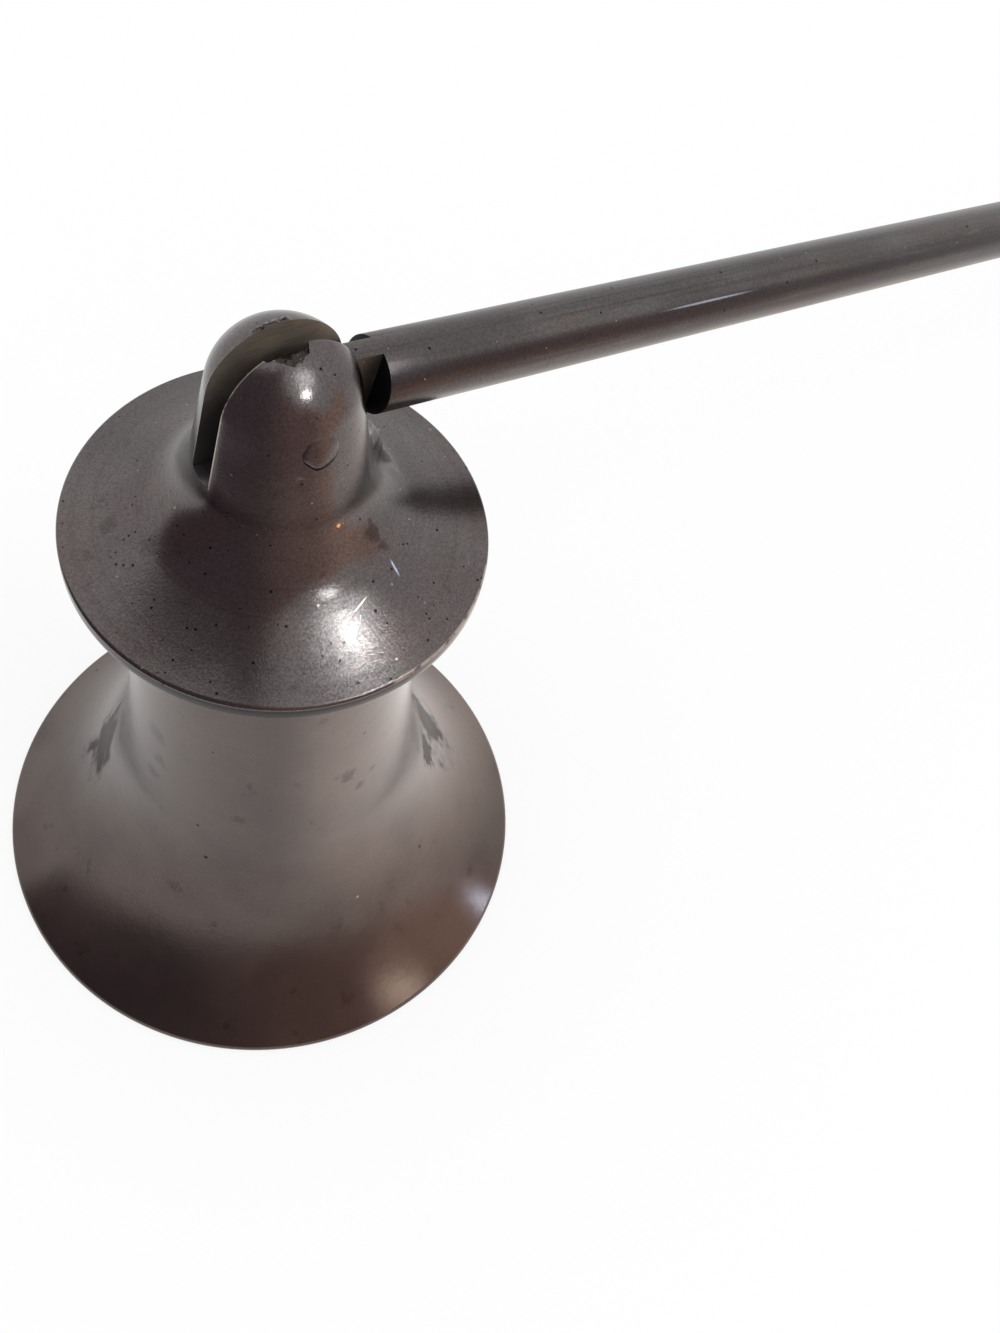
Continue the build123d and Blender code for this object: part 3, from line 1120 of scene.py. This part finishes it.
def makeBall():
    bm = bmesh.new()
    neck = handle["ballNeck"]
    collarEnd = rodEnd + handle["collarLength"]
    neckTurn = math.pi - math.asin(neck / handle["ball"])
    vert = startOutline(bm, 0, rodEnd - handle["spigotDepth"])
    vert = lineTo(bm, vert, handle["spigot"], rodEnd - handle["spigotDepth"])
    vert = lineTo(bm, vert, handle["spigot"], rodEnd)
    vert = lineTo(bm, vert, handle["collar"], rodEnd)
    vert = lineTo(bm, vert, handle["collar"], collarEnd)
    vert = lineTo(bm, vert, neck, collarEnd)
    vert = lineTo(bm, vert, neck, ballStart)
    vert = arcTo(bm, vert, (0, handle["length"]), -neckTurn, handle["ballSteps"])
    spinOutline(bm, handle["ballTurns"])
    roundEdges(bm, sharpEdges(bm, handle["ballSharp"]), handle["edgeRound"], 2)
    bmesh.ops.transform(bm, matrix=alongHandle, verts=bm.verts)
    return finishPiece(bm, "handleBall", "handle", "handle_finial", [handleBronze])


makeBell()
makeCrown()
makePin()
makeRod()
makeBall()
for node in ("crown_screw", "screw_washer"):
    mesh = frame["nodes"][node].data
    mesh.materials.clear()
    mesh.materials.append(plainBrass)

# camera at the photograph's place
view = dict(
    place=Vector((-27.46, -44.18, 115.54)) * mm,
    yaw=50.40,
    pitch=58.05,
    roll=18.13,
    focalPixels=1330,
    imageHeight=1333,
    sensor=36.0,
    clipStart=1 * mm,
)
camera = bpy.data.cameras.new("photoCamera")
camera.sensor_width = view["sensor"]
camera.lens = view["focalPixels"] / view["imageHeight"] * view["sensor"]
camera.clip_start = view["clipStart"]
cameraObject = bpy.data.objects.new("photoCamera", camera)
scene.collection.objects.link(cameraObject)
aim = Matrix.Rotation(math.radians(-view["yaw"]), 4, "Z")
aim = aim @ Matrix.Rotation(math.radians(90 - view["pitch"]), 4, "X")
aim = aim @ Matrix.Rotation(math.radians(view["roll"]), 4, "Z")
cameraObject.matrix_world = Matrix.Translation(view["place"]) @ aim
scene.camera = cameraObject

# studio: white floor and surround, lamps, and cards that only the metal mirrors
cameraForward = 90 - view["yaw"]  # degrees from +X, so angles below are as seen from the camera


def aroundObject(turn, lift, distance):
    angle = math.radians(cameraForward - turn)
    level = distance * math.cos(math.radians(lift))
    height = distance * math.sin(math.radians(lift))
    return Vector((level * math.cos(angle), level * math.sin(angle), height))


def stagePiece(bm, name, material):
    mesh = bpy.data.meshes.new(name)
    bm.to_mesh(mesh)
    bm.free()
    mesh.materials.append(material)
    piece = bpy.data.objects.new(name, mesh)
    scene.collection.objects.link(piece)
    return piece


floor = dict(
    size=30,
    colour=(0.92, 0.92, 0.92, 1),
    glow=0.8,  # share of plain white that the camera and the metal see
)


def floorPaint():
    material, tree, shader, place = newMaterial("floorPaint")
    shader.inputs["Base Color"].default_value = floor["colour"]
    shader.inputs["Roughness"].default_value = 1.0
    shader.inputs["Specular IOR Level"].default_value = 0.0
    path = addNode(tree, "ShaderNodeLightPath").outputs
    seen = sums(tree, "MAXIMUM", path["Is Camera Ray"], path["Is Glossy Ray"])
    seen = sums(tree, "MAXIMUM", seen, path["Is Transmission Ray"])
    light = addNode(tree, "ShaderNodeEmission", {"Color": (1, 1, 1, 1), "Strength": 1.0}).outputs[0]
    share = times(tree, seen, floor["glow"])
    mix = addNode(tree, "ShaderNodeMixShader", {0: share, 1: shader.outputs[0], 2: light})
    tree.links.new(mix.outputs[0], tree.nodes["Material Output"].inputs["Surface"])
    return material


def makeFloor():
    bm = bmesh.new()
    bmesh.ops.create_grid(bm, x_segments=1, y_segments=1, size=floor["size"])
    stagePiece(bm, "floor", floorPaint())


# one dark card stands round the back of the camera, dark on the left and brown on the right
mirrorCard = dict(
    start=-96,
    end=-306,
    near=62 * mm,
    far=150 * mm,
    nearUntil=-256,  # turns at which the colour and the distance change
    farFrom=-285,
    darkUntil=-165,
    brownFrom=-230,
    foot=3 * mm,
    height=250 * mm,
    lip=0.05,  # share of the radius that the top reaches in to
    eye=40 * mm,
    dark=Vector((0.21, 0.165, 0.185)),
    brown=Vector((0.57, 0.405, 0.36)),
    tan=Vector((1.0, 0.72, 0.6)),
    tanFrom=-262,
    tanTop=20,
    darkTop=100,  # degrees above the eye
    brownTop=36,
    softTop=7,
    leftBend=(4.5, 0.1, 0.0011),  # the left edge leans over with height
    bendFrom=60,
    bendLowest=-45,
    lowBend=18,  # and steps back near the floor
    lowBelow=(12 * mm, 45 * mm),
    softLeft=2.5,
    softRight=30,
    lowPart=0.25,  # share of the height that has half of the rows
    rows=50,
    lipRows=30,
    columns=210,
)
# a bright card lies on the floor on the right
floorCard = dict(
    start=165,
    end=-5,
    inner=23.5 * mm,
    outer=140 * mm,
    lift=0.3 * mm,
    fullFrom=112,
    fullUntil=45,
    nearGlow=1.75,
    farGlow=1.15,
    fall=48 * mm,
    colour=Vector((1.0, 0.94, 0.9)),
    fade=0.7,  # share of the outer radius at which it starts to fade out
    rows=40,
    columns=90,
)


def turnOf(point):  # degrees to the right of the camera's line, from -360 to 0
    return (cameraForward - math.degrees(math.atan2(point.y, point.x))) % 360 - 360


def cardPaint(name, oneSided):
    material = bpy.data.materials.new(name)
    material.use_nodes = True
    tree = material.node_tree
    tree.nodes.remove(tree.nodes["Principled BSDF"])
    shade = addNode(tree, "ShaderNodeAttribute", attribute_name="shade")
    light = addNode(tree, "ShaderNodeEmission", {"Color": shade.outputs["Color"]})
    clear = addNode(tree, "ShaderNodeBsdfTransparent")
    cover = shade.outputs["Alpha"]
    if oneSided:
        back = addNode(tree, "ShaderNodeNewGeometry").outputs["Backfacing"]
        cover = times(tree, cover, sums(tree, "SUBTRACT", 1.0, back))
    mix = addNode(tree, "ShaderNodeMixShader", {0: cover, 1: clear.outputs[0], 2: light.outputs[0]})
    tree.links.new(mix.outputs[0], tree.nodes["Material Output"].inputs["Surface"])
    return material


def placeCard(bm, name, material):
    piece = stagePiece(bm, name, material)
    piece.visible_camera = False
    piece.visible_diffuse = False
    piece.visible_shadow = False


def spinCard(bm, card):
    sweep = math.radians(card["start"] - card["end"])
    geom = bm.verts[:] + bm.edges[:]
    bmesh.ops.spin(bm, geom=geom, cent=(0, 0, 0), axis=(0, 0, 1), angle=sweep, steps=card["columns"])
    return bm.verts.layers.float_color.new("shade")


def leftEdge(height):
    over = max(height / mm - mirrorCard["bendFrom"], mirrorCard["bendLowest"])
    base, slope, curve = mirrorCard["leftBend"]
    low = mirrorCard["lowBend"] * smoothStep(*reversed(mirrorCard["lowBelow"]), height)
    return mirrorCard["start"] - low - base - slope * over - curve * over * over


def makeMirrorCard(material):
    bm = bmesh.new()
    foot = aroundObject(mirrorCard["start"], 0, mirrorCard["near"])
    foot.z = mirrorCard["foot"]
    top = Vector((foot.x, foot.y, mirrorCard["height"]))
    lip = Vector((foot.x * mirrorCard["lip"], foot.y * mirrorCard["lip"], mirrorCard["height"]))
    vert = drawRun(bm, bm.verts.new(foot), foot.lerp(top, mirrorCard["lowPart"]), mirrorCard["rows"])
    vert = drawRun(bm, vert, top, mirrorCard["rows"])
    drawRun(bm, vert, lip, mirrorCard["lipRows"])
    layer = spinCard(bm, mirrorCard)
    for vert in bm.verts:
        turn = turnOf(vert.co)
        share = smoothStep(mirrorCard["darkUntil"], mirrorCard["brownFrom"], turn)
        reach = smoothStep(mirrorCard["nearUntil"], mirrorCard["farFrom"], turn)
        reach = 1 + reach * (mirrorCard["far"] / mirrorCard["near"] - 1)
        vert.co.x *= reach
        vert.co.y *= reach
        lift = math.degrees(math.atan2(vert.co.z - mirrorCard["eye"], vert.co.xy.length))
        limit = mirrorCard["darkTop"] + share * (mirrorCard["brownTop"] - mirrorCard["darkTop"])
        glow = smoothStep(mirrorCard["brownFrom"], mirrorCard["tanFrom"], turn)
        limit += glow * (mirrorCard["tanTop"] - mirrorCard["brownTop"])
        cover = 1 - smoothStep(limit - mirrorCard["softTop"], limit + mirrorCard["softTop"], lift)
        edge = leftEdge(vert.co.z)
        cover *= smoothStep(edge + mirrorCard["softLeft"], edge - mirrorCard["softLeft"], turn)
        cover *= smoothStep(mirrorCard["end"], mirrorCard["end"] + mirrorCard["softRight"], turn)
        colour = mirrorCard["dark"].lerp(mirrorCard["brown"], share).lerp(mirrorCard["tan"], glow)
        vert[layer] = (*colour, cover)
    placeCard(bm, "mirrorCard", material)


def makeFloorCard(material):
    bm = bmesh.new()
    inner = aroundObject(floorCard["start"], 0, floorCard["inner"])
    inner.z = floorCard["lift"]
    outer = aroundObject(floorCard["start"], 0, floorCard["outer"])
    outer.z = floorCard["lift"]
    drawRun(bm, bm.verts.new(inner), outer, floorCard["rows"])
    layer = spinCard(bm, floorCard)
    for vert in bm.verts:
        turn = turnOf(vert.co) % 360
        if turn > 180:
            turn -= 360
        cover = smoothStep(floorCard["start"], floorCard["fullFrom"], turn)
        cover *= smoothStep(floorCard["end"], floorCard["fullUntil"], turn)
        reach = vert.co.xy.length
        cover *= smoothStep(floorCard["outer"], floorCard["outer"] * floorCard["fade"], reach)
        near = smoothStep(floorCard["fall"], floorCard["inner"], reach)
        glow = floorCard["farGlow"] + near * (floorCard["nearGlow"] - floorCard["farGlow"])
        vert[layer] = (*(floorCard["colour"] * glow), cover)
    placeCard(bm, "floorCard", material)


# two small lit cards lie face down over the floor, so that only the rim mirrors them
rimCards = dict(
    warmCard=dict(
        mirroredAt=(0.8, -20.9, 1.8),  # mm
        turn=112,
        lift=20,
        away=44,
        deep=14,
        wide=11,
        colour=(7.5, 6.8, 6.0),
    ),
    coolCard=dict(
        mirroredAt=(11.7, -18.3, 1.2),
        turn=74,
        lift=14,
        away=42,
        deep=10,
        wide=3.4,
        colour=(16.0, 21.0, 28.0),
    ),
)


def makeRimCards(material):
    for name, card in rimCards.items():
        bm = bmesh.new()
        bmesh.ops.create_circle(bm, cap_ends=True, cap_tris=True, segments=32, radius=1)
        layer = bm.verts.layers.float_color.new("shade")
        for vert in bm.verts:
            cover = 1.0 if vert.co.length < 0.5 else 0.0  # clear at the edge
            vert[layer] = (*card["colour"], cover)
        bmesh.ops.reverse_faces(bm, faces=bm.faces)
        bmesh.ops.scale(bm, vec=(card["deep"] * mm, card["wide"] * mm, 1), verts=bm.verts)
        offset = aroundObject(card["turn"], card["lift"], card["away"] * mm)
        heading = Matrix.Rotation(math.atan2(offset.y, offset.x), 4, "Z")
        place = Matrix.Translation(Vector(card["mirroredAt"]) * mm + offset)
        bmesh.ops.transform(bm, matrix=place @ heading, verts=bm.verts)
        placeCard(bm, name, material)


makeFloor()
cardMaterial = cardPaint("cardPaint", False)
makeRimCards(cardPaint("rimCardPaint", True))
makeMirrorCard(cardMaterial)
makeFloorCard(cardMaterial)

lamps = dict(  # each stands off the spot that it lights, at a turn and a lift as seen from the camera
    sideLamp=dict(
        spot=(-0.5, -3.1, 60.5),  # mm
        turn=118,
        lift=40,
        distance=0.2,
        size=0.016,
        power=0.8,
        aim=(0, -2, 66),
        cone=6.9,
        blend=0.4,
    ),
    topLamp=dict(
        spot=(-0.8, -10.2, 46.2),
        turn=95,
        lift=63,
        distance=0.2,
        size=0.005,
        power=0.4,
        aim=(-0.9, -9.9, 46.4),
        cone=2.4,
        blend=1,
    ),
    haloLamp=dict(spot=(-0.8, -10.2, 46.2), turn=101, lift=57, distance=0.7, size=0.32, power=0.7),
)
lampLight = (0.93, 1.0, 1.0)
for name, lamp in lamps.items():
    place = Vector(lamp["spot"]) * mm + aroundObject(lamp["turn"], lamp["lift"], lamp["distance"])
    if "cone" in lamp:  # a narrow beam, for the knob or for the disc alone
        light = bpy.data.lights.new(name, "SPOT")
        light.spot_size = math.radians(lamp["cone"])
        light.spot_blend = lamp["blend"]
        light.shadow_soft_size = lamp["size"]
        beam = place - Vector(lamp["aim"]) * mm
    else:
        light = bpy.data.lights.new(name, "AREA")
        light.shape = "DISK"
        light.size = lamp["size"]
        beam = place - Vector(lamp["spot"]) * mm
    light.energy = lamp["power"]
    light.color = lampLight
    lampObject = bpy.data.objects.new(name, light)
    scene.collection.objects.link(lampObject)
    lampObject.location = place
    lampObject.rotation_euler = beam.to_track_quat("Z", "Y").to_euler()
    lampObject.visible_camera = False

world = bpy.data.worlds.new("studio")
scene.world = world
world.use_nodes = True
world.node_tree.nodes["Background"].inputs["Color"].default_value = (1, 1, 1, 1)
world.node_tree.nodes["Background"].inputs["Strength"].default_value = 1.0
scene.view_settings.view_transform = "Standard"
print("camera and light set")
